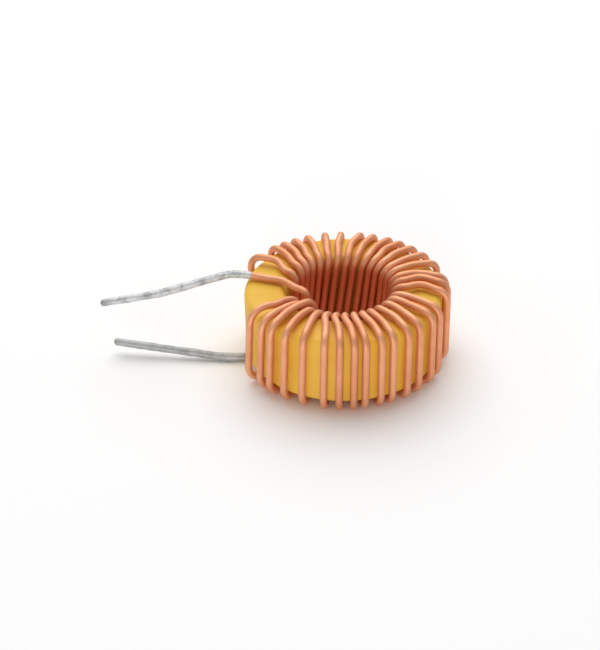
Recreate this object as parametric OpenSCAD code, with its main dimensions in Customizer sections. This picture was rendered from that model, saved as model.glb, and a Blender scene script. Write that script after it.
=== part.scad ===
// Ring-core inductor lying flat: a coated iron-powder ring, wound in one layer with enamelled
// copper wire. The wire is one length from tip to tip, and its two stripped ends are tinned.
// The frame's origin is on the ring's axis, on the surface that the winding rests on. The leads
// point along -X.

/* [Core] */
// Outer diameter of the coated ring
core_od = 23.9; // [20:0.1:30]
// Inner diameter of the coated ring
core_id = 13.8; // [12:0.1:16]
// Height of the coated ring
core_h = 8.6; // [6:0.1:12]
// Radius of the ring's four rounded edges
core_edge = 0.8; // [0.4:0.1:1]

/* [Wire] */
// Diameter of the bare copper
copper_d = 0.8; // [0.6:0.02:0.9]
// Thickness of the enamel on the copper
enamel_t = 0.04; // [0.02:0.01:0.06]
// Thickness of the solder on the stripped ends
solder_t = 0.08; // [0.06:0.01:0.14]

/* [Winding] */
// Arc at the bore that the winding leaves bare, in degrees
bare_arc = 50; // [46:1:120]
// Free gap between neighbouring turns at the bore, at the least
turn_gap = 0.18; // [0.1:0.02:0.6]
// Room between the wire and the core where a turn is drawn tight
wire_clear = 0.08; // [0.06:0.01:0.2]
// Extra room between the wire and the core on the slack side
side_slack = 0.15; // [0:0.05:0.6]
// Extra room between the wire and the wall of the bore
bore_slack = 0.25; // [0:0.05:0.4]
// Bend of the wire over the edges of the bore
bore_bend = 1.5; // [1.2:0.1:2]
// Rise of each turn over the bore's upper edge
bore_lift = 0.05; // [0:0.05:0.6]
// Extra room over the outer edge under the first turns, which start loosely
start_slack = 0.45; // [0:0.05:0.8]
// Extra room between the outer wall and the last turns, which come down loosely
finish_slack = 0.6; // [0:0.05:0.8]

/* [Leads] */
// Length of the straight stretch at the tip of each lead
tip_length = 5.2; // [4:0.1:8]
// Straight stretch of the upper lead between its two bends
upper_reach = 6.4; // [4:0.1:14]
// Straight stretch of the lower lead between its bend and its tip
lower_reach = 8.1; // [4:0.1:14]
// Distance of the upper lead behind the ring's axis where it leaves the ring
upper_offset = 1.7; // [1.4:0.1:2.4]
// Distance of the lower lead in front of the ring's axis where it leaves the ring
lower_offset = 1.8; // [1.4:0.1:2.4]
// Slope of the plane in which the leads bend, in degrees
lead_slope = 36; // [20:1:50]

/* [Hidden] */

// Sizes of the wire
wire_d = copper_d + 2 * enamel_t;
wire_r = wire_d / 2;
copper_r = copper_d / 2;
tinned_r = copper_r + solder_t;

// Heights: the bottom runs of the winding lie on the surface below, and the ring lies on them
core_bottom = wire_d + wire_clear;
core_top = core_bottom + core_h;
core_mid = (core_bottom + core_top) / 2;

// Radii of the wire's centre line
bore_r = core_id / 2 - wire_r - wire_clear - bore_slack;
layer_step = wire_d + wire_clear;
rim_r = core_od / 2;
outer_bend = core_edge + wire_clear + wire_r;

// Turns: as many as the wound arc takes at the least gap, spread evenly over it
first_angle = 159;
wound_arc = 360 - bare_arc;
wire_arc = 2 * asin(wire_r / bore_r);
least_pitch = 2 * asin((wire_d + turn_gap) / 2 / bore_r);
last_turn = floor(wound_arc / least_pitch);
pitch = wound_arc / last_turn;
free_arc = pitch - wire_arc;
bare_mid = first_angle + bare_arc / 2;

// Hand winding is uneven. Each turn's place at the bore strays from its even place by so many
// free gaps, and its place on the outer wall strays from its place at the bore by so many degrees.
// Between the two, its run across the top bows by so many degrees.
bore_stray = [
    -1, -3.5, -3, -2.25, -2.25, -2.25, -2.5, -2.75, -2.5, -2.75, -2.5,
    -2.25, -2.75, -2.5, -3.25, -2.75, -3.75, -6.25, -5.75, -5.75, -6.5, -6.5,
    -5.75, -5, -4.25, -3.5, -2.75, -2.25, -2.25, -1.5, -0.25, 0
];
wall_stray = [
    -5, -7, -5.5, -4.5, -3, -4, -3.5, -5, -3.5, -3, -1.5,
    -1, 0, -1.5, -6, -3.5, -1.5, -3.5, -2.5, -3.5, -0.5, 0,
    2, 2, 4.5, 5.5, 6, 3.5, 3, 2.5, 4, 4
];
run_bow = [
    -5, -2, -2, -1.5, -1, -0.5, 1, 2, 1.5, 1.5, 2.5,
    2, 1, 1.5, 2.5, 4.5, 5, 0.5, 0, 0.5, 1.5, 1,
    1, 0.5, 1, 1, 0.5, -0.5, -1, -1.5, -0.5, 1.5
];
// The wire goes on round the ring as it rises through the bore and over its edge, in degrees
bore_lean = 8;
edge_lean = 3.5;
// Share of the first turn's looseness that each turn keeps from the one before
slack_fade = 0.3;
// The last few turns lean towards the finish as they come down the outer wall, and lean less in the bore
finish_lean = 3;
finish_ease = 5;
finish_power = 8;
// One of the last turns finds no room at the bore's upper edge. It stands off the wall there, and rises.
squeezed_turn = last_turn - 2;
squeeze = 0.9;
squeeze_lift = 0.3;

// Steps of the wire's outline and of its bends
wire_sides = 8;
bend_step = 30;
lead_bend_step = 4;

function unit(v) = v / norm(v);
function polar(r, a, z) = [r * cos(a), r * sin(a), z];

// Share of slackness at an angle round the ring: the turns opposite the leads are the loosest
loosest_angle = -20;
function slackness(a) = pow((1 + cos(a - loosest_angle)) / 2, 4);
function bore_angle(i) = first_angle - i * pitch + free_arc * bore_stray[i % len(bore_stray)];
function wall_angle(i) = bore_angle(i) + wall_stray[i % len(wall_stray)];
function finish_share(i) = pow(i / last_turn, finish_power);
function foot_angle(i) = wall_angle(i) - finish_lean * finish_share(i);
function run_angle(i) = (bore_angle(i) + wall_angle(i)) / 2 + run_bow[i % len(run_bow)];
function low_angle(i) = bore_angle(i) + edge_lean + bore_lean - finish_ease * finish_share(i);

// A quarter bend round the centre (r, z). It starts at angle a round the ring and eases off to angle b.
function quarter_bend(r, z, size, a, b, from, turn) = [
    for (s = [0:bend_step:90])
        let (left = pow(1 - s / 90, 2))
        polar(r + size * cos(from + turn * s), b + (a - b) * left, z + size * sin(from + turn * s))
];

// The bend from below the ring into the bore
function bore_foot(a) = quarter_bend(bore_r + bore_bend, wire_r + bore_bend, bore_bend, a, a, 270, -1);

// One turn: up through the bore, over the top, down the outer wall
function turn_points(i) =
    let (
        a = bore_angle(i),
        b = wall_angle(i),
        c = foot_angle(i),
        m = run_angle(i),
        over_edge = (m + 3 * b) / 4,
        slack = side_slack * slackness(b),
        squeezed = i == squeezed_turn ? 1 : 0,
        foot_bend = outer_bend + slack + finish_slack * finish_share(i),
        bend = foot_bend + start_slack * pow(slack_fade, i),
        bend_r = rim_r - core_edge,
        top_z = core_top - core_edge + bend,
        arch_r = bore_r + bore_bend - squeezed * squeeze,
        arch_z = core_top + wire_clear + wire_r + bore_lift + slack + squeezed * squeeze_lift,
        run_r = (bore_r + bore_bend + bend_r) / 2,
        run_z = (top_z + arch_z + bore_lift) / 2
    )
    concat(
        bore_foot(low_angle(i)),
        quarter_bend(arch_r, arch_z - bore_bend, bore_bend, a + edge_lean, a, 180, -1),
        [polar(run_r, m, run_z)],
        quarter_bend(bend_r, core_top - core_edge, bend, over_edge, b, 90, -1),
        quarter_bend(bend_r, wire_r + foot_bend, foot_bend, c, c, 0, -1)
    );

// The last pass through the bore rises over the pass before it, into a second layer. Its points are
// [layers inwards, pitches round, share of the core's height above its middle].
last_angle = bore_angle(last_turn) - pitch;
last_layer = 1.2;
inner_r = bore_r - last_layer * layer_step;
last_pass_route = [
    [0.1, 0.68, -0.22],
    [0.5, 0.74, -0.06],
    [0.8, 0.82, 0.1],
    [1.05, 0.92, 0.3],
    [last_layer, 1, 0.5]
];
last_pass = concat(
    bore_foot(low_angle(last_turn) - pitch),
    [
        for (p = last_pass_route)
            polar(bore_r - p[0] * layer_step, last_angle + p[1] * pitch, core_mid + p[2] * core_h)
    ]
);

// The upper end of the wire goes over the edge of the bore and across the bare part of the ring.
// Over the edge its points are [distance out from the last pass, pitches round, height over its seat].
// Across the ring they are [distance out from the bore's wall, degrees from the middle of the bare arc,
// height over its seat].
upper_z = core_top + wire_clear + tinned_r;
edge_route = [[0.05, 0.9, 0.05], [0.3, 0.4, 0.3]];
cross_route = [[-1.1, 10.5, 0.25], [-0.2, -3.2, 0.1], [0.7, -9, 0.03], [2.3, -11.2, 0]];
upper_run = concat(
    [for (p = edge_route) polar(inner_r + p[0], last_angle + p[1] * pitch, upper_z + p[2])],
    [for (p = cross_route) polar(core_id / 2 + p[0], bare_mid + p[1], upper_z + p[2])]
);

// The lower end of the wire comes from under the bare part of the ring. Its points are [distance in from
// the rim, distance back from the lead's line, share of the rise from the winding's level to the lead's].
lower_clear = 0.04;
lower_z = tinned_r + lower_clear;
lower_route = [[0.7, 0.05, 1], [1.6, 0.45, 0], [2.8, 1.4, 0]];
lower_run = [
    for (p = lower_route) [p[0] - rim_r, p[1] - lower_offset, wire_r + p[2] * (lower_z - wire_r)]
];

// Each lead leaves the ring at its own place and heading, then runs straight or bends in a plane.
// A step is [length, 0] when straight, and [bend radius, degrees] when bent.
upper_inset = 0.8;
upper_rise = 0.06;
upper_start = [upper_inset - rim_r, upper_offset, upper_z + upper_rise];
upper_heading = -8;
upper_steps = [[0.8, 0], [7, 25], [upper_reach, 0], [25, -7.5], [tip_length, 0]];
lower_outset = 0.1;
lower_start = [-rim_r - lower_outset, -lower_offset, lower_z];
lower_heading = 0;
lower_steps = [[2, 0], [8, -8.5], [lower_reach + tip_length, 0]];

// Place and heading in the lead's plane after the first n steps
function after(steps, heading, n) =
    n == 0 ? [0, 0, heading] :
    let (
        s = after(steps, heading, n - 1),
        size = steps[n - 1][0],
        bend = steps[n - 1][1],
        h = s[2] + bend,
        r = size * sign(bend)
    )
    bend == 0
        ? [s[0] + size * cos(s[2]), s[1] + size * sin(s[2]), h]
        : [s[0] + r * (sin(h) - sin(s[2])), s[1] + r * (cos(s[2]) - cos(h)), h];

// A point of the lead's plane in the part's frame
function lead_place(start, p) = start + [-p[0], -p[1] * cos(lead_slope), -p[1] * sin(lead_slope)];

// Centre line of a lead from the ring to its tip
function lead_points(start, heading, steps) = [
    lead_place(start, after(steps, heading, 0)),
    for (n = [1:len(steps)])
        let (
            size = steps[n - 1][0],
            bend = steps[n - 1][1],
            pieces = max(1, ceil(abs(bend) / lead_bend_step))
        )
        for (k = [1:pieces])
            let (part = [for (m = [0:n - 1]) m < n - 1 || bend == 0 ? steps[m] : [size, bend * k / pieces]])
            lead_place(start, after(part, heading, n))
];

function reversed(list) = [for (i = [len(list) - 1:-1:0]) list[i]];

// The same line with its far end moved back
function short_end(points, cut) =
    let (n = len(points), way = unit(points[n - 1] - points[n - 2]))
    [for (i = [0:n - 1]) i < n - 1 ? points[i] : points[i] - cut * way];

// The solder closes over the end of the copper, so the copper stops short of the tip
end_room = 0.02;
tip_cover = tinned_r + end_room;
upper_line = lead_points(upper_start, upper_heading, upper_steps);
lower_line = lead_points(lower_start, lower_heading, lower_steps);
upper_lead = short_end(upper_line, tip_cover);
lower_lead = short_end(lower_line, tip_cover);

// The whole wire: the enamel ends in a square step where a lead is stripped
strip_gap = 0.02;
strip_straight = 0.3;
lower_way = unit(lower_lead[1] - lower_lead[0]);
upper_way = unit(upper_lead[1] - upper_lead[0]);
enamelled = concat(
    [lower_start - 2 * strip_gap * lower_way, lower_start - strip_straight * lower_way],
    lower_run,
    [for (i = [0:last_turn]) each turn_points(i)],
    last_pass,
    upper_run,
    [upper_start - strip_straight * upper_way, upper_start - 2 * strip_gap * upper_way]
);
wire_points = concat(
    reversed([for (i = [1:len(lower_lead) - 1]) lower_lead[i]]),
    [lower_start - strip_gap * lower_way],
    enamelled,
    [upper_start - strip_gap * upper_way],
    [for (i = [1:len(upper_lead) - 1]) upper_lead[i]]
);
lower_bare = len(lower_lead);
upper_bare = lower_bare + len(enamelled);
function wire_radius(i) = i < lower_bare || i >= upper_bare ? copper_r : wire_r;

// Sweep a round wire along points, carrying its frame along without twist
function ways(p) = [
    for (i = [0:len(p) - 1]) unit(p[min(i + 1, len(p) - 1)] - p[max(i - 1, 0)])
];
function square_to(v, t) = unit(v - (v * t) * t);
function sides_of(t) = [
    for (
        i = 0, u = square_to([0, 0, 1], t[0]);
        i < len(t);
        i = i + 1, u = i < len(t) ? square_to(u, t[i]) : u
    ) u
];

module sweep_wire(p) {
    t = ways(p);
    u = sides_of(t);
    rings = len(p);
    points = [
        for (i = [0:rings - 1], k = [0:wire_sides - 1])
            let (a = 360 * k / wire_sides)
            p[i] + wire_radius(i) * (cos(a) * u[i] + sin(a) * cross(t[i], u[i]))
    ];
    walls = [
        for (i = [0:rings - 2], k = [0:wire_sides - 1])
            let (
                n = (k + 1) % wire_sides,
                a = i * wire_sides + k,
                b = i * wire_sides + n
            )
            each [[a, a + wire_sides, b], [b, a + wire_sides, b + wire_sides]]
    ];
    last_ring = (rings - 1) * wire_sides;
    caps = [
        [for (k = [0:wire_sides - 1]) k],
        [for (k = [wire_sides - 1:-1:0]) last_ring + k]
    ];
    polyhedron(points = points, faces = concat(walls, caps));
}

// Section of the ring, with its four rounded edges
module ring_section() {
    width = (core_od - core_id) / 2;
    translate([core_edge, 0]) square([width - 2 * core_edge, core_h]);
    translate([0, core_edge]) square([width, core_h - 2 * core_edge]);
    for (x = [core_edge, width - core_edge], z = [core_edge, core_h - core_edge])
        translate([x, z]) circle(core_edge, $fn = 48);
}

module core() {
    color([0.93, 0.72, 0.25])
        translate([0, 0, core_bottom])
            rotate_extrude($fn = 128)
                translate([core_id / 2, 0]) ring_section();
}

module winding() {
    color([0.87, 0.55, 0.38]) sweep_wire(wire_points);
}

// The solder lies as a tube along the bends of a lead, closed by a round thimble on its straight tip.
// The thimble starts inside the end of the tube.
coat_sides = 16;
coat_joint = 0.4;
coat_lap = 0.01;
run_room = 0.018;
tip_room = 0.03;
run_outer_r = (tinned_r + coat_lap) / cos(180 / coat_sides);
run_bore_r = copper_r + run_room;
tip_bore_r = copper_r + tip_room;

module coat_run(p) {
    t = ways(p);
    u = sides_of(t);
    rings = len(p);
    points = [
        for (r = [run_outer_r, run_bore_r], i = [0:rings - 1], k = [0:coat_sides - 1])
            let (a = 360 * k / coat_sides)
            p[i] + r * (cos(a) * u[i] + sin(a) * cross(t[i], u[i]))
    ];
    wall = rings * coat_sides;
    faces = [
        for (k = [0:coat_sides - 1])
            let (n = (k + 1) % coat_sides, e = wall - coat_sides)
            each concat(
                [for (i = [0:coat_sides:e - 1]) each [
                    [i + k, i + k + coat_sides, i + n],
                    [i + n, i + k + coat_sides, i + n + coat_sides],
                    [wall + i + k, wall + i + n, wall + i + k + coat_sides],
                    [wall + i + n, wall + i + n + coat_sides, wall + i + k + coat_sides]
                ]],
                [
                    [k, n, wall + k],
                    [n, wall + n, wall + k],
                    [e + k, wall + e + k, e + n],
                    [e + n, wall + e + k, wall + e + n]
                ]
            )
    ];
    polyhedron(points = points, faces = faces);
}

// The straight tip along +X, closed by a round end
module coat_tip() {
    straight = tip_length - tinned_r;
    rotate([0, 90, 0])
        rotate_extrude($fn = 64) {
            translate([tip_bore_r, 0]) square([tinned_r - tip_bore_r, straight]);
            translate([0, straight])
                intersection() {
                    circle(tinned_r, $fn = 64);
                    square(tinned_r);
                }
        }
}

// The whole coat of a lead, from where the enamel ends to the tip
module lead_coat(start, heading, steps, line) {
    end = after(steps, heading, len(steps));
    color([0.72, 0.73, 0.74]) {
        coat_run(short_end(line, tip_length - coat_joint));
        translate(start)
            rotate([-lead_slope, 0, 180])
                translate([end[0], end[1], 0])
                    rotate([0, 0, end[2]])
                        translate([-tip_length, 0, 0]) coat_tip();
    }
}

module upper_lead_tinning() {
    lead_coat(upper_start, upper_heading, upper_steps, upper_line);
}

module lower_lead_tinning() {
    lead_coat(lower_start, lower_heading, lower_steps, lower_line);
}

core();
winding();
upper_lead_tinning();
lower_lead_tinning();
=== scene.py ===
"""Looks of a ring-core inductor: a coated ring, its enamelled copper winding and two tinned wire ends.

The file is laid out as an add-on and is run as a script. Lengths are in metres, in the part's own frame:
+Z up, the ring's axis through the origin, the leads along -X.
"""

import math

import bpy
from bpy.props import FloatProperty, FloatVectorProperty, IntProperty, PointerProperty
from mathutils import Matrix, Vector


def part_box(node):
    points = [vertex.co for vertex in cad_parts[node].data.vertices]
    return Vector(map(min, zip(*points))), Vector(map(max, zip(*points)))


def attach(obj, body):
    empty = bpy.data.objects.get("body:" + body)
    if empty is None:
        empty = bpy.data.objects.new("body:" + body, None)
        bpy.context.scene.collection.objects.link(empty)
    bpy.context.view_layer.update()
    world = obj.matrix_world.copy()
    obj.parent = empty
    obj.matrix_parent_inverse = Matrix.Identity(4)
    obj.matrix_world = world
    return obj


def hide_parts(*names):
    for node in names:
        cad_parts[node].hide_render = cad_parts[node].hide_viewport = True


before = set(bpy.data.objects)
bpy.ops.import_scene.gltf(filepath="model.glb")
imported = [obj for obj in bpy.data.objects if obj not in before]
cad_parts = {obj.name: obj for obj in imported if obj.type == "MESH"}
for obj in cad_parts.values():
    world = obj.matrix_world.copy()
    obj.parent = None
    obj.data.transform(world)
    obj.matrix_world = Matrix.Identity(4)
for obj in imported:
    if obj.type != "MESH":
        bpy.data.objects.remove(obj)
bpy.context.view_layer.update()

bl_info = {
    "name": "Ring-Core Inductor",
    "version": (1, 0, 0),
    "blender": (4, 5, 0),
    "location": "View3D > Sidebar > Inductor",
    "description": "Builds the ring, winding and tinned leads of an inductor around its solids",
    "category": "Add Mesh",
}

MM = 0.001
QUARTER = 90
BODY = "root"
CORE_LOW, CORE_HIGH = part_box("core")

# Hand winding is uneven. Each turn strays from its even place at the bore by so many free gaps,
# and from there to its place on the outer wall by so many degrees. Between the two, its run across
# the top bows by so many degrees.
BORE_STRAY = (
    -1, -3.5, -3, -2.25, -2.25, -2.25, -2.5, -2.75, -2.5, -2.75, -2.5,
    -2.25, -2.75, -2.5, -3.25, -2.75, -3.75, -6.25, -5.75, -5.75, -6.5, -6.5,
    -5.75, -5, -4.25, -3.5, -2.75, -2.25, -2.25, -1.5, -0.25, 0,
)
WALL_STRAY = (
    -5, -7, -5.5, -4.5, -3, -4, -3.5, -5, -3.5, -3, -1.5,
    -1, 0, -1.5, -6, -3.5, -1.5, -3.5, -2.5, -3.5, -0.5, 0,
    2, 2, 4.5, 5.5, 6, 3.5, 3, 2.5, 4, 4,
)
RUN_BOW = (
    -5, -2, -2, -1.5, -1, -0.5, 1, 2, 1.5, 1.5, 2.5,
    2, 1, 1.5, 2.5, 4.5, 5, 0.5, 0, 0.5, 1.5, 1,
    1, 0.5, 1, 1, 0.5, -0.5, -1, -1.5, -0.5, 1.5,
)


class CoreSettings(bpy.types.PropertyGroup):
    """Sizes and colours of the coated ring"""

    outer_diameter: FloatProperty(
        name="Outer Diameter",
        description="Outer diameter of the coated ring",
        default=CORE_HIGH.x - CORE_LOW.x,
        unit="LENGTH",
        precision=5,
    )
    inner_diameter: FloatProperty(
        name="Inner Diameter",
        description="Inner diameter of the coated ring",
        default=13.8 * MM,
        unit="LENGTH",
        precision=5,
    )
    edge_radius: FloatProperty(
        name="Edge Radius",
        description="Radius of the ring's four rounded edges",
        default=0.8 * MM,
        unit="LENGTH",
        precision=5,
    )
    coating: FloatVectorProperty(
        name="Coating",
        description="Colour of the ring's coating",
        default=(0.89, 0.56, 0.075),
        subtype="COLOR",
        min=0,
        max=1,
    )
    coating_thin: FloatVectorProperty(
        name="Thin Coating",
        description="Colour of the coating where it is thin",
        default=(0.85, 0.49, 0.055),
        subtype="COLOR",
        min=0,
        max=1,
    )


class WindingSettings(bpy.types.PropertyGroup):
    """Sizes and colours of the enamelled winding"""

    wire_diameter: FloatProperty(
        name="Wire Diameter",
        description="Diameter of the wire over its enamel",
        default=0.88 * MM,
        unit="LENGTH",
        precision=5,
    )
    turns: IntProperty(
        name="Turns",
        description="Turns that go over the top of the ring",
        default=32,
        min=12,
    )
    bare_arc: FloatProperty(
        name="Bare Arc",
        description="Arc at the bore that the winding leaves bare",
        default=math.radians(50),
        subtype="ANGLE",
    )
    clearance: FloatProperty(
        name="Clearance",
        description="Room between the wire and the core where a turn is drawn tight",
        default=0.08 * MM,
        unit="LENGTH",
        precision=5,
    )
    side_slack: FloatProperty(
        name="Side Slack",
        description="Extra room between the wire and the core on the slack side",
        default=0.15 * MM,
        unit="LENGTH",
        precision=5,
    )
    bore_slack: FloatProperty(
        name="Bore Slack",
        description="Extra room between the wire and the wall of the bore",
        default=0.25 * MM,
        unit="LENGTH",
        precision=5,
    )
    bore_bend: FloatProperty(
        name="Bore Bend",
        description="Bend of the wire over the edges of the bore",
        default=1.5 * MM,
        unit="LENGTH",
        precision=5,
    )
    bore_lift: FloatProperty(
        name="Bore Lift",
        description="Rise of each turn over the bore's upper edge",
        default=0.05 * MM,
        unit="LENGTH",
        precision=5,
    )
    start_slack: FloatProperty(
        name="Start Slack",
        description="Extra room over the outer edge under the first turns",
        default=0.45 * MM,
        unit="LENGTH",
        precision=5,
    )
    finish_slack: FloatProperty(
        name="Finish Slack",
        description="Extra room between the outer wall and the last turns",
        default=0.6 * MM,
        unit="LENGTH",
        precision=5,
    )
    copper: FloatVectorProperty(
        name="Copper",
        description="Colour of the copper seen through its enamel",
        default=(0.87, 0.44, 0.25),
        subtype="COLOR",
        min=0,
        max=1,
    )
    copper_dark: FloatVectorProperty(
        name="Dark Copper",
        description="Colour of the copper under thicker enamel",
        default=(0.8, 0.36, 0.19),
        subtype="COLOR",
        min=0,
        max=1,
    )
    # Painted shade: a darker, redder copper that is mixed onto the wire inside the bore, where shade falls
    copper_bore_shade: FloatVectorProperty(
        name="Deep Copper",
        description="Colour of the copper inside the bore",
        default=(0.8, 0.27, 0.115),
        subtype="COLOR",
        min=0,
        max=1,
    )


class LeadSettings(bpy.types.PropertyGroup):
    """Sizes and colours of the two tinned wire ends"""

    tinned_diameter: FloatProperty(
        name="Tinned Diameter",
        description="Diameter of a lead over its solder",
        default=0.96 * MM,
        unit="LENGTH",
        precision=5,
    )
    lump_height: FloatProperty(
        name="Lump Height",
        description="Height of the lumps in the solder",
        default=0.06 * MM,
        unit="LENGTH",
        precision=6,
    )
    tip_length: FloatProperty(
        name="Tip Length",
        description="Straight stretch at the tip of each lead",
        default=5.2 * MM,
        unit="LENGTH",
        precision=5,
    )
    upper_reach: FloatProperty(
        name="Upper Reach",
        description="Straight stretch of the upper lead between its two bends",
        default=6.4 * MM,
        unit="LENGTH",
        precision=5,
    )
    lower_reach: FloatProperty(
        name="Lower Reach",
        description="Straight stretch of the lower lead between its bend and its tip",
        default=8.1 * MM,
        unit="LENGTH",
        precision=5,
    )
    upper_offset: FloatProperty(
        name="Upper Offset",
        description="Distance of the upper lead behind the ring's axis where it leaves the ring",
        default=1.7 * MM,
        unit="LENGTH",
        precision=5,
    )
    lower_offset: FloatProperty(
        name="Lower Offset",
        description="Distance of the lower lead in front of the ring's axis where it leaves the ring",
        default=1.8 * MM,
        unit="LENGTH",
        precision=5,
    )
    slope: FloatProperty(
        name="Slope",
        description="Slope of the plane in which the leads bend",
        default=math.radians(36),
        subtype="ANGLE",
    )
    solder: FloatVectorProperty(
        name="Solder",
        description="Colour of the bright solder",
        default=(0.66, 0.665, 0.67),
        subtype="COLOR",
        min=0,
        max=1,
    )
    # Mixed in at random for the dull patches, and as painted shade low down and at the tip of each lead
    solder_dull_and_shade: FloatVectorProperty(
        name="Dull Solder",
        description="Colour of the dull patches in the solder",
        default=(0.3, 0.305, 0.295),
        subtype="COLOR",
        min=0,
        max=1,
    )


class StageSettings(bpy.types.PropertyGroup):
    """Camera, light and floor"""

    elevation: FloatProperty(
        name="Elevation",
        description="Height of the camera over the horizon, seen from the ring",
        default=math.radians(33.6),
        subtype="ANGLE",
    )
    distance: FloatProperty(
        name="Distance",
        description="Distance of the camera from the middle of the ring",
        default=191.2 * MM,
        unit="LENGTH",
    )
    lens: FloatProperty(
        name="Lens",
        description="Focal length of the camera",
        default=86.6,
        subtype="DISTANCE_CAMERA",
    )
    floor: FloatVectorProperty(
        name="Floor",
        description="Colour of the floor",
        default=(1, 1, 1),
        subtype="COLOR",
        min=0,
        max=1,
    )
    ambient: FloatProperty(
        name="Ambient",
        description="Strength of the light from all round",
        default=0.41,
        min=0,
    )
    key_power: FloatProperty(
        name="Key Light",
        description="Power of the soft light overhead, in watts",
        default=7.1,
        min=0,
    )
    fill_power: FloatProperty(
        name="Fill Light",
        description="Power of the low soft light in front, in watts",
        default=0.55,
        min=0,
    )


def deselect_all():
    """Leave object mode clean, so that an operator acts only on what is made next"""
    if bpy.context.object and bpy.context.object.mode != "OBJECT":
        bpy.ops.object.mode_set(mode="OBJECT")
    bpy.ops.object.select_all(action="DESELECT")


def edit_only(kind, items, wanted):
    """Go to edit mode with only the wanted faces or edges of the active mesh selected"""
    bpy.ops.object.mode_set(mode="EDIT")
    bpy.ops.mesh.select_mode(type=kind)
    bpy.ops.mesh.select_all(action="DESELECT")
    bpy.ops.object.mode_set(mode="OBJECT")
    for item in items:
        item.select = wanted(item)
    bpy.ops.object.mode_set(mode="EDIT")


def lies_flat(face):
    """True for a face that looks more up or down than sideways"""
    return abs(face.normal.z) > 0.5


def polar(radius, angle, height):
    """Point at an angle round the ring, in degrees"""
    turn = math.radians(angle)
    return Vector((radius * math.cos(turn), radius * math.sin(turn), height))


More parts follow.
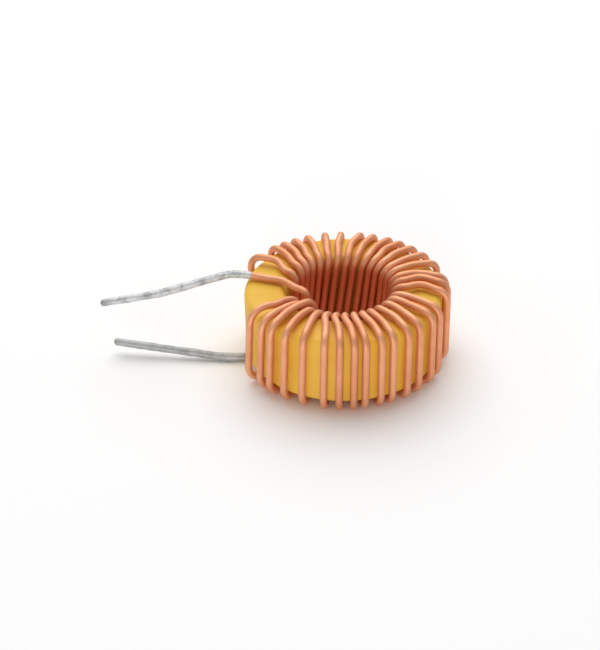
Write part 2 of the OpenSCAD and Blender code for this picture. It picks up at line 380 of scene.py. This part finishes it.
class WireRoute:
    """Centre line of the wire from one end of the enamel to the other, and of the leads beyond it"""

    first_angle = 159
    loosest_angle = -20
    slack_power = 4
    bore_lean = 8
    edge_lean = 3.5
    slack_fade = 0.3
    finish_lean = 3
    finish_ease = 5
    finish_power = 8
    squeezed_from_last = 2
    squeeze = 0.9 * MM
    squeeze_lift = 0.3 * MM
    bend_step = 30
    last_layer = 1.2
    strip_straight = 0.3 * MM

    # Points of the last pass: layers inwards, pitches round, share of the core's height above its middle
    last_pass_route = (
        (0.1, 0.68, -0.22),
        (0.5, 0.74, -0.06),
        (0.8, 0.82, 0.1),
        (1.05, 0.92, 0.3),
        (1.2, 1, 0.5),
    )
    # Over the bore's edge: millimetres out from the last pass, pitches round, millimetres over the seat
    edge_route = ((0.05, 0.9, 0.05), (0.3, 0.4, 0.3))
    # Across the ring: millimetres out from the bore's wall, degrees from the bare arc's middle,
    # millimetres over the seat
    cross_route = ((-1.1, 10.5, 0.25), (-0.2, -3.2, 0.1), (0.7, -9, 0.03), (2.3, -11.2, 0))
    # Under the ring: millimetres in from the rim, millimetres back, share of the rise to the lead's level
    lower_route = ((0.7, 0.05, 1), (1.6, 0.45, 0), (2.8, 1.4, 0))

    upper_inset = 0.8 * MM
    upper_rise = 0.06 * MM
    lower_outset = 0.1 * MM
    lower_clearance = 0.04 * MM

    # The leads beyond the ring: heading in degrees, first straight stretch, then each bend's radius
    # and its degrees
    upper_heading = -8
    upper_straight = 0.8 * MM
    upper_shoulder = (7 * MM, 25)
    upper_droop = (25 * MM, -7.5)
    lower_heading = 0
    lower_straight = 2 * MM
    lower_rise = (8 * MM, -8.5)

    def __init__(self, core, winding, leads):
        self.winding = winding
        self.leads = leads
        self.wire_r = winding.wire_diameter / 2
        self.tinned_r = leads.tinned_diameter / 2
        self.rim_r = core.outer_diameter / 2
        self.bore_wall_r = core.inner_diameter / 2
        self.edge = core.edge_radius
        self.top = CORE_HIGH.z
        self.height = CORE_HIGH.z - CORE_LOW.z
        self.middle = (CORE_HIGH.z + CORE_LOW.z) / 2
        self.bore_r = self.bore_wall_r - self.wire_r - winding.clearance - winding.bore_slack
        self.layer_step = winding.wire_diameter + winding.clearance
        self.outer_bend = self.edge + winding.clearance + self.wire_r
        self.last_turn = winding.turns - 1
        bare_arc = math.degrees(winding.bare_arc)
        self.pitch = (360 - bare_arc) / self.last_turn
        self.free_arc = self.pitch - 2 * math.degrees(math.asin(self.wire_r / self.bore_r))
        self.bare_middle = self.first_angle + bare_arc / 2
        self.upper_z = self.top + winding.clearance + self.tinned_r
        self.lower_z = self.tinned_r + self.lower_clearance
        self.last_angle = self.bore_angle(self.last_turn) - self.pitch

    def bore_angle(self, turn):
        stray = BORE_STRAY[turn % len(BORE_STRAY)]
        return self.first_angle - turn * self.pitch + self.free_arc * stray

    def wall_angle(self, turn):
        return self.bore_angle(turn) + WALL_STRAY[turn % len(WALL_STRAY)]

    def finish_share(self, turn):
        return (turn / self.last_turn) ** self.finish_power

    def low_angle(self, turn):
        """Angle at the bore's lower edge: the wire goes on round the ring as it rises from there"""
        ease = self.finish_ease * self.finish_share(turn)
        return self.bore_angle(turn) + self.edge_lean + self.bore_lean - ease

    def quarter_bend(self, radius, height, size, angles, start):
        """Quarter bend round a centre at radius and height, easing from one angle of the ring to another"""
        first, last = angles
        points = []
        for step in range(0, QUARTER + 1, self.bend_step):
            tilt = math.radians(start - step)
            angle = last + (first - last) * (1 - step / QUARTER) ** 2
            points.append(polar(radius + size * math.cos(tilt), angle, height + size * math.sin(tilt)))
        return points

    def bore_foot(self, angle):
        bend = self.winding.bore_bend
        return self.quarter_bend(self.bore_r + bend, self.wire_r + bend, bend, (angle, angle), 3 * QUARTER)

    def one_turn(self, turn):
        """Up through the bore, over the top and down the outer wall"""
        winding = self.winding
        at_bore = self.bore_angle(turn)
        at_wall = self.wall_angle(turn)
        at_foot = at_wall - self.finish_lean * self.finish_share(turn)
        off_loosest = math.radians(at_wall - self.loosest_angle)
        slackness = ((1 + math.cos(off_loosest)) / 2) ** self.slack_power
        slack = winding.side_slack * slackness
        foot_bend = self.outer_bend + slack + winding.finish_slack * self.finish_share(turn)
        bend = foot_bend + winding.start_slack * self.slack_fade**turn
        bend_r = self.rim_r - self.edge
        bore_bend = winding.bore_bend
        bore_bend_r = self.bore_r + bore_bend
        squeezed = 1 if turn == self.last_turn - self.squeezed_from_last else 0
        arch_r = bore_bend_r - squeezed * self.squeeze
        seat_z = self.top + winding.clearance + self.wire_r
        arch_z = seat_z + winding.bore_lift + slack + squeezed * self.squeeze_lift
        run_z = (self.top - self.edge + bend + arch_z + winding.bore_lift) / 2
        at_middle = (at_bore + at_wall) / 2 + RUN_BOW[turn % len(RUN_BOW)]
        bore_turn = (at_bore + self.edge_lean, at_bore)
        # The bend at the wall eases in from a quarter of the way back to the middle of the run
        wall_turn = ((at_middle + 3 * at_wall) / 4, at_wall)
        return [
            *self.bore_foot(self.low_angle(turn)),
            *self.quarter_bend(arch_r, arch_z - bore_bend, bore_bend, bore_turn, 2 * QUARTER),
            polar((bore_bend_r + bend_r) / 2, at_middle, run_z),
            *self.quarter_bend(bend_r, self.top - self.edge, bend, wall_turn, QUARTER),
            *self.quarter_bend(bend_r, self.wire_r + foot_bend, foot_bend, (at_foot, at_foot), 0),
        ]

    def last_pass(self):
        """Up through the bore a last time, over the pass before it"""
        return self.bore_foot(self.low_angle(self.last_turn) - self.pitch) + [
            polar(
                self.bore_r - inwards * self.layer_step,
                self.last_angle + along * self.pitch,
                self.middle + rise * self.height,
            )
            for inwards, along, rise in self.last_pass_route
        ]

    def upper_run(self):
        """Over the edge of the bore and across the bare part of the ring"""
        inner_r = self.bore_r - self.last_layer * self.layer_step
        over_edge = [
            polar(inner_r + out * MM, self.last_angle + along * self.pitch, self.upper_z + rise * MM)
            for out, along, rise in self.edge_route
        ]
        across = [
            polar(self.bore_wall_r + out * MM, self.bare_middle + turn, self.upper_z + rise * MM)
            for out, turn, rise in self.cross_route
        ]
        return over_edge + across

    def lower_run(self):
        """From the lower lead to the first pass, under the bare part of the ring"""
        rise_to_lead = self.lower_z - self.wire_r
        return [
            Vector(
                (
                    inwards * MM - self.rim_r,
                    back * MM - self.leads.lower_offset,
                    self.wire_r + rise * rise_to_lead,
                )
            )
            for inwards, back, rise in self.lower_route
        ]

    def lead_line(self, start, heading, steps, bend_step=4):
        """A lead's line from the ring to its tip. A step is a length, or a bend's radius and its degrees"""
        slope = self.leads.slope
        back = Vector((0, -math.cos(slope), -math.sin(slope)))
        out = Vector((-1, 0, 0))
        points = [start.copy()]
        turned = heading
        for size, bend in steps:
            pieces = max(1, math.ceil(abs(bend) / bend_step))
            if bend:
                stride = 2 * size * math.sin(math.radians(abs(bend) / pieces / 2))
            else:
                stride = size
            for _ in range(pieces):
                way = math.radians(turned + bend / pieces / 2)
                points.append(points[-1] + stride * (math.cos(way) * out + math.sin(way) * back))
                turned += bend / pieces
        return points

    def upper_lead(self):
        leads = self.leads
        start = Vector((self.upper_inset - self.rim_r, leads.upper_offset, self.upper_z + self.upper_rise))
        steps = (
            (self.upper_straight, 0),
            self.upper_shoulder,
            (leads.upper_reach, 0),
            self.upper_droop,
            (leads.tip_length, 0),
        )
        return self.lead_line(start, self.upper_heading, steps)

    def lower_lead(self):
        leads = self.leads
        start = Vector((-self.rim_r - self.lower_outset, -leads.lower_offset, self.lower_z))
        steps = (
            (self.lower_straight, 0),
            self.lower_rise,
            (leads.lower_reach + leads.tip_length, 0),
        )
        return self.lead_line(start, self.lower_heading, steps)

    def enamelled(self):
        """The whole enamelled wire, which ends a little way inside each coat of solder"""
        lower = self.lower_lead()
        upper = self.upper_lead()
        lower_way = (lower[1] - lower[0]).normalized()
        upper_way = (upper[1] - upper[0]).normalized()
        turns = [point for turn in range(self.winding.turns) for point in self.one_turn(turn)]
        return [
            lower[0] + self.strip_straight * lower_way,
            lower[0] - self.strip_straight * lower_way,
            *self.lower_run(),
            *turns,
            *self.last_pass(),
            *self.upper_run(),
            upper[0] - self.strip_straight * upper_way,
            upper[0] + self.strip_straight * upper_way,
        ]


def hold_straight(points, longest=3 * MM, inset=0.5 * MM):
    """Add a point near each end of every long stretch, so that a smooth curve keeps it straight"""
    held = [points[0]]
    for before, after in zip(points, points[1:]):
        way = after - before
        if way.length > longest:
            step = inset * way.normalized()
            held += [before + step, after - step]
        held.append(after)
    return held


def make_tube(name, points, radii, smoothness, sides, seam=0.001 * MM):
    """Round tube along a smooth curve, as a mesh. A radius is given for each point"""
    deselect_all()
    bpy.ops.curve.primitive_bezier_curve_add(location=(0, 0, 0))
    tube = bpy.context.object
    tube.name = name
    curve = tube.data
    spline = curve.splines[0]
    spline.bezier_points.add(len(points) - len(spline.bezier_points))
    for knot, place, radius in zip(spline.bezier_points, points, radii):
        knot.co = place
        knot.radius = radius
        knot.handle_left_type = "AUTO"
        knot.handle_right_type = "AUTO"
    curve.dimensions = "3D"
    curve.resolution_u = smoothness
    curve.bevel_depth = 1
    curve.bevel_resolution = sides // 2 - 2
    curve.use_fill_caps = True
    bpy.ops.object.convert(target="MESH")
    tube = bpy.context.object
    bpy.ops.object.mode_set(mode="EDIT")
    bpy.ops.mesh.select_all(action="SELECT")
    bpy.ops.mesh.remove_doubles(threshold=seam)
    bpy.ops.mesh.normals_make_consistent(inside=False)
    bpy.ops.object.mode_set(mode="OBJECT")
    bpy.ops.object.shade_smooth()
    return tube


def settle(piece, material, slot, *nodes):
    """Give a piece its material, and put it in the place of its solids"""
    piece.data.materials.clear()
    piece.data.materials.append(material)
    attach(piece, BODY)
    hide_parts(*nodes)


class NodeBench:
    """A material, and short ways to add the nodes that it needs"""

    def __init__(self, material):
        material.use_nodes = True
        self.material = material
        self.tree = material.node_tree
        self.shader = self.tree.nodes["Principled BSDF"]

    def add(self, kind, **values):
        node = self.tree.nodes.new(kind)
        for name, value in values.items():
            setattr(node, name, value)
        return node

    def link(self, source, target):
        self.tree.links.new(source, target)

    def place(self, scale=(1, 1, 1), kind="Object"):
        """Object or UV coordinates, stretched along each axis"""
        coordinates = self.add("ShaderNodeTexCoord")
        mapping = self.add("ShaderNodeMapping")
        mapping.inputs["Scale"].default_value = scale
        self.link(coordinates.outputs[kind], mapping.inputs["Vector"])
        return mapping.outputs["Vector"]

    def noise(self, place, scale, detail=2, roughness=0.5):
        node = self.add("ShaderNodeTexNoise")
        node.inputs["Scale"].default_value = scale
        node.inputs["Detail"].default_value = detail
        node.inputs["Roughness"].default_value = roughness
        self.link(place, node.inputs["Vector"])
        return node.outputs["Fac"]

    def between(self, source, low, high):
        """Spread the part of source between low and high over 0 to 1"""
        node = self.add("ShaderNodeMapRange", interpolation_type="SMOOTHSTEP")
        node.inputs["From Min"].default_value = low
        node.inputs["From Max"].default_value = high
        self.link(source, node.inputs["Value"])
        return node.outputs["Result"]

    def spread(self, source, low, high):
        """Spread 0 to 1 over low to high"""
        node = self.add("ShaderNodeMapRange")
        node.inputs["To Min"].default_value = low
        node.inputs["To Max"].default_value = high
        self.link(source, node.inputs["Value"])
        return node.outputs["Result"]

    def mix(self, share, first, second):
        """Mix two colours, each given as a colour or as a socket"""
        node = self.add("ShaderNodeMix", data_type="RGBA")
        self.link(share, node.inputs["Factor"])
        for value, socket in ((first, node.inputs["A"]), (second, node.inputs["B"])):
            if isinstance(value, bpy.types.NodeSocket):
                self.link(value, socket)
            else:
                socket.default_value = (*value, 1)
        return node.outputs["Result"]

    def bump(self, source, height, strength):
        node = self.add("ShaderNodeBump")
        node.inputs["Strength"].default_value = strength
        node.inputs["Distance"].default_value = height
        self.link(source, node.inputs["Height"])
        self.link(node.outputs["Normal"], self.shader.inputs["Normal"])


def coating_material(core):
    """Baked yellow coating: smooth, a little uneven in tone, with a faint orange-peel skin"""
    tone_scale = 130
    tone_range = (0.35, 0.7)
    roughness_range = (0.5, 0.6)
    gloss = 0.25
    peel_scale = 2600
    peel_height = 0.01 * MM
    bench = NodeBench(bpy.data.materials.new("baked_coating"))
    place = bench.place()
    tone = bench.between(bench.noise(place, tone_scale), *tone_range)
    colour = bench.mix(tone, core.coating, core.coating_thin)
    shader = bench.shader
    bench.link(colour, shader.inputs["Base Color"])
    bench.link(bench.spread(tone, *roughness_range), shader.inputs["Roughness"])
    shader.inputs["Specular IOR Level"].default_value = gloss
    bench.bump(bench.noise(place, peel_scale), peel_height, strength=0.4)
    return bench.material


def bore_shade_mask(bench, place):
    """Mask for the painted shade in the bore: 1 on the wire inside the bore, fading to 0 over the bore's
    upper edge and towards its wall
    """
    wall_fade = (6.9 * MM, 6.1 * MM)
    edge_fade = (10.2 * MM, 8.4 * MM)
    axes = bench.add("ShaderNodeSeparateXYZ")
    bench.link(place, axes.inputs["Vector"])
    flat = bench.add("ShaderNodeCombineXYZ")
    bench.link(axes.outputs["X"], flat.inputs["X"])
    bench.link(axes.outputs["Y"], flat.inputs["Y"])
    radius = bench.add("ShaderNodeVectorMath", operation="LENGTH")
    bench.link(flat.outputs["Vector"], radius.inputs[0])
    inside = bench.between(radius.outputs["Value"], *wall_fade)
    below = bench.between(axes.outputs["Z"], *edge_fade)
    both = bench.add("ShaderNodeMath", operation="MULTIPLY")
    bench.link(inside, both.inputs[0])
    bench.link(below, both.inputs[1])
    return both.outputs["Value"]


def enamel_material(winding):
    """Clear enamel over drawn copper: fine streaks along the wire, slow changes of tone, and painted shade
    that darkens the wire inside the bore to a deeper red
    """
    tone_scale = 260
    tone_range = (0.3, 0.7)
    streak_stretch = (900, 9, 1)
    streak_height = 0.003 * MM
    roughness_range = (0.52, 0.66)
    metal = 0.76
    bench = NodeBench(bpy.data.materials.new("enamelled_copper"))
    place = bench.place()
    tone = bench.between(bench.noise(place, tone_scale), *tone_range)
    streaks = bench.noise(bench.place(streak_stretch, kind="UV"), 1, detail=3, roughness=0.6)
    colour = bench.mix(tone, winding.copper, winding.copper_dark)
    # Painted shade: inside the bore, the wire's colour is mixed towards a darker, redder copper
    colour = bench.mix(bore_shade_mask(bench, place), colour, winding.copper_bore_shade)
    shader = bench.shader
    bench.link(colour, shader.inputs["Base Color"])
    bench.link(bench.spread(streaks, *roughness_range), shader.inputs["Roughness"])
    shader.inputs["Metallic"].default_value = metal
    bench.bump(streaks, streak_height, strength=0.3)
    return bench.material


def solder_material(leads):
    """Dipped solder: soft sheen with dull patches, painted shade that darkens it low down and at the tip,
    and a grainy bump
    """
    patch_scale = 800
    patch_range = (0.42, 0.66)
    patch_share = 0.8
    grain_scale = 4200
    grain_height = 0.015 * MM
    low_shade_fade = (6 * MM, 1 * MM)
    tip_shade_fade = (-27.2 * MM, -28.6 * MM)
    painted_shade_share = 0.6
    roughness_range = (0.46, 0.6)
    metal = 0.4
    bench = NodeBench(bpy.data.materials.new("dipped_solder"))
    place = bench.place()
    patches = bench.between(bench.noise(place, patch_scale, detail=4, roughness=0.65), *patch_range)
    grain = bench.noise(place, grain_scale)
    axes = bench.add("ShaderNodeSeparateXYZ")
    bench.link(place, axes.inputs["Vector"])
    # Painted shade: the solder is darkened low down, near the floor, and at the rounded tip
    painted_low_shade = bench.between(axes.outputs["Z"], *low_shade_fade)
    painted_tip_shade = bench.between(axes.outputs["X"], *tip_shade_fade)
    colour = leads.solder
    for source, share in ((patches, patch_share), (painted_low_shade, painted_shade_share), (painted_tip_shade, painted_shade_share)):
        colour = bench.mix(bench.spread(source, 0, share), colour, leads.solder_dull_and_shade)
    shader = bench.shader
    bench.link(colour, shader.inputs["Base Color"])
    bench.link(bench.spread(grain, *roughness_range), shader.inputs["Roughness"])
    shader.inputs["Metallic"].default_value = metal
    bench.bump(grain, grain_height, strength=0.5)
    return bench.material


def floor_material(stage):
    """Plain pale floor, without gloss"""
    bench = NodeBench(bpy.data.materials.new("pale_floor"))
    shader = bench.shader
    shader.inputs["Base Color"].default_value = (*stage.floor, 1)
    shader.inputs["Roughness"].default_value = 0.9
    shader.inputs["Specular IOR Level"].default_value = 0
    return bench.material


class INDUCTOR_OT_core(bpy.types.Operator):
    """Make the coated ring"""

    bl_idname = "inductor.core"
    bl_label = "Coated Ring"

    sides = 192
    edge_steps = 8
    smooth_angle = math.radians(35)

    def execute(self, context):
        core = context.scene.inductor_core
        outer_r = core.outer_diameter / 2
        inner_r = core.inner_diameter / 2
        middle = (CORE_LOW.z + CORE_HIGH.z) / 2
        deselect_all()
        bpy.ops.mesh.primitive_cylinder_add(
            vertices=self.sides, radius=outer_r, depth=CORE_HIGH.z - CORE_LOW.z, location=(0, 0, middle)
        )
        ring = context.object
        ring.name = "coated_ring"
        bpy.ops.object.transform_apply(location=True, rotation=True, scale=True)
        self.open_bore(ring, outer_r - inner_r)
        self.round_edges(ring, core.edge_radius)
        bpy.ops.object.shade_smooth_by_angle(angle=self.smooth_angle)
        settle(ring, coating_material(core), "core_coating", "core")
        return {"FINISHED"}

    def open_bore(self, ring, wall):
        """Inset the two round faces, and join the inner ones through the ring"""
        edit_only("FACE", ring.data.polygons, lies_flat)
        bpy.ops.mesh.inset(thickness=wall)
        bpy.ops.mesh.bridge_edge_loops()
        bpy.ops.mesh.select_all(action="SELECT")
        bpy.ops.mesh.normals_make_consistent(inside=False)
        bpy.ops.object.mode_set(mode="OBJECT")

    def round_edges(self, ring, radius):
        """Bevel the four round edges, those between a flat face and a wall"""
        mesh = ring.data
        flat_edges = {key for face in mesh.polygons if lies_flat(face) for key in face.edge_keys}
        wall_edges = {key for face in mesh.polygons if not lies_flat(face) for key in face.edge_keys}
        round_edges = flat_edges & wall_edges
        edit_only("EDGE", mesh.edges, lambda edge: edge.key in round_edges)
        bpy.ops.mesh.bevel(offset=radius, segments=self.edge_steps, profile=0.5)
        bpy.ops.object.mode_set(mode="OBJECT")


class INDUCTOR_OT_winding(bpy.types.Operator):
    """Wind the enamelled wire round the ring"""

    bl_idname = "inductor.winding"
    bl_label = "Winding"

    smoothness = 4
    sides = 14

    def execute(self, context):
        scene = context.scene
        winding = scene.inductor_winding
        route = WireRoute(scene.inductor_core, winding, scene.inductor_leads)
        points = hold_straight(route.enamelled())
        radii = [route.wire_r] * len(points)
        wire = make_tube("enamelled_winding", points, radii, self.smoothness, self.sides)
        settle(wire, enamel_material(winding), "enamelled_copper", "winding")
        return {"FINISHED"}


class INDUCTOR_OT_leads(bpy.types.Operator):
    """Coat the two stripped wire ends with solder"""

    bl_idname = "inductor.leads"
    bl_label = "Tinned Leads"

    smoothness = 1
    sides = 20
    spacing = 0.12 * MM
    lump_size = 1.1 * MM
    blunt_share = 0.12
    # Thickness along each lead from the ring: millimetres along, share of the tinned radius
    upper_swell = ((0, 0.94), (1.7, 1), (4.5, 0.97), (7.5, 1.03), (10.5, 1.05), (13.5, 0.98), (19, 0.9))
    lower_swell = ((0, 1.06), (2.4, 1.12), (3.4, 1.02), (6, 1.04), (9, 0.98), (13, 1.02), (16.5, 0.96))

    def execute(self, context):
        scene = context.scene
        leads = scene.inductor_leads
        route = WireRoute(scene.inductor_core, scene.inductor_winding, leads)
        solder = solder_material(leads)
        for side, line, swell in (
            ("upper", route.upper_lead(), self.upper_swell),
            ("lower", route.lower_lead(), self.lower_swell),
        ):
            points, radii = self.coat_line(line, swell, route.tinned_r)
            coat = make_tube(f"{side}_lead_solder", points, radii, self.smoothness, self.sides)
            self.add_lumps(coat, leads.lump_height)
            settle(coat, solder, "solder", f"{side}_lead_tinning")
        return {"FINISHED"}

    def coat_line(self, line, swell, tinned_r):
        """Points close together along a lead, each with its radius, and a round end at the tip"""
        lengths = [0]
        for before, after in zip(line, line[1:]):
            lengths.append(lengths[-1] + (after - before).length)
        total = lengths[-1]
        points = []
        radii = []
        steps = round(total / self.spacing)
        for step in range(steps + 1):
            along = total * step / steps
            points.append(self.at(along, lengths, line))
            share = self.at(along / MM, [s[0] for s in swell], [s[1] for s in swell])
            radii.append(tinned_r * share * self.round_end(total - along, tinned_r))
        return points, radii

    def at(self, place, places, values):
        """Value at a place, read between the two places round it"""
        for low, high, first, second in zip(places, places[1:], values, values[1:]):
            if place <= high:
                return first + (second - first) * (place - low) / (high - low)
        return values[-1]

    def round_end(self, left, radius):
        """Share of the full radius, this far from the tip"""
        if left >= radius:
            return 1
        return max(self.blunt_share, math.sqrt(1 - (1 - left / radius) ** 2))

    def add_lumps(self, coat, height):
        """Raise and sink the solder by a soft noise"""
        lumps = bpy.data.textures.new(coat.name + "_lumps", "CLOUDS")
        lumps.noise_scale = self.lump_size
        lumps.noise_depth = 1
        displace = coat.modifiers.new("lumps", "DISPLACE")
        displace.texture = lumps
        displace.texture_coords = "LOCAL"
        displace.strength = 2 * height
        displace.mid_level = 0.5
        bpy.ops.object.modifier_apply(modifier=displace.name)


class INDUCTOR_OT_stage(bpy.types.Operator):
    """Set up the floor, the light and the camera"""

    bl_idname = "inductor.stage"
    bl_label = "Stage"

    floor_size = 4
    key_size = 1.2
    key_place = Vector((-0.06, 0.44, 0.74))
    fill_size = 0.12
    fill_place = Vector((-0.03, -0.44, 0.045))
    # The camera looks a little left of the ring's middle and below it, where the middle of the picture is
    look_left = 5.27 * MM
    look_down = 0.99 * MM

    def execute(self, context):
        stage = context.scene.inductor_stage
        context.scene.view_settings.view_transform = "Standard"
        self.add_floor(stage)
        self.add_light("soft_key", self.key_place, self.key_size, stage.key_power)
        self.add_light("low_fill", self.fill_place, self.fill_size, stage.fill_power)
        self.add_room(context, stage)
        self.add_camera(context, stage)
        return {"FINISHED"}

    def add_floor(self, stage):
        deselect_all()
        bpy.ops.mesh.primitive_plane_add(size=self.floor_size, location=(0, 0, 0))
        floor = bpy.context.object
        floor.name = "pale_floor"
        floor.data.materials.append(floor_material(stage))

    def add_light(self, name, place, size, power):
        """Soft round light that shines at the ring"""
        deselect_all()
        bpy.ops.object.light_add(type="AREA", location=place)
        light = bpy.context.object
        light.name = name
        light.data.shape = "DISK"
        light.data.size = size
        light.data.energy = power
        light.rotation_euler = (-place).to_track_quat("-Z", "Y").to_euler()

    def add_room(self, context, stage):
        """Even light from all round"""
        world = bpy.data.worlds.new("pale_room")
        context.scene.world = world
        world.use_nodes = True
        shade = world.node_tree.nodes["Background"]
        shade.inputs["Color"].default_value = (1, 1, 1, 1)
        shade.inputs["Strength"].default_value = stage.ambient

    def add_camera(self, context, stage):
        middle = Vector((0, 0, (CORE_LOW.z + CORE_HIGH.z) / 2))
        back = Vector((0, -math.cos(stage.elevation), math.sin(stage.elevation)))
        up = Vector((0, math.sin(stage.elevation), math.cos(stage.elevation)))
        target = middle + Vector((-self.look_left, 0, 0)) - self.look_down * up
        place = middle + stage.distance * back
        look = (target - place).normalized()
        right = (Vector((1, 0, 0)) - look.x * look).normalized()
        deselect_all()
        bpy.ops.object.camera_add(location=place)
        camera = context.object
        camera.name = "product_camera"
        camera.rotation_euler = Matrix((right, right.cross(look), -look)).transposed().to_euler()
        camera.data.lens = stage.lens
        camera.data.clip_start = 1 * MM
        context.scene.camera = camera


class INDUCTOR_PT_panel(bpy.types.Panel):
    """Lists the pieces and their sizes"""

    bl_idname = "INDUCTOR_PT_panel"
    bl_label = "Ring-Core Inductor"
    bl_space_type = "VIEW_3D"
    bl_region_type = "UI"
    bl_category = "Inductor"

    def draw(self, context):
        layout = self.layout
        scene = context.scene
        for operator, settings in (
            (INDUCTOR_OT_core, scene.inductor_core),
            (INDUCTOR_OT_winding, scene.inductor_winding),
            (INDUCTOR_OT_leads, scene.inductor_leads),
            (INDUCTOR_OT_stage, scene.inductor_stage),
        ):
            box = layout.box()
            box.operator(operator.bl_idname)
            for name in settings.__annotations__:
                box.prop(settings, name)


SETTINGS = {
    "inductor_core": CoreSettings,
    "inductor_winding": WindingSettings,
    "inductor_leads": LeadSettings,
    "inductor_stage": StageSettings,
}
CLASSES = (
    *SETTINGS.values(),
    INDUCTOR_OT_core,
    INDUCTOR_OT_winding,
    INDUCTOR_OT_leads,
    INDUCTOR_OT_stage,
    INDUCTOR_PT_panel,
)


def register():
    for cls in CLASSES:
        bpy.utils.register_class(cls)
    for name, settings in SETTINGS.items():
        setattr(bpy.types.Scene, name, PointerProperty(type=settings))


def unregister():
    for name in SETTINGS:
        delattr(bpy.types.Scene, name)
    for cls in reversed(CLASSES):
        bpy.utils.unregister_class(cls)


def main():
    register()
    bpy.ops.inductor.stage()
    bpy.ops.inductor.core()
    bpy.ops.inductor.winding()
    bpy.ops.inductor.leads()


if __name__ == "__main__":
    main()
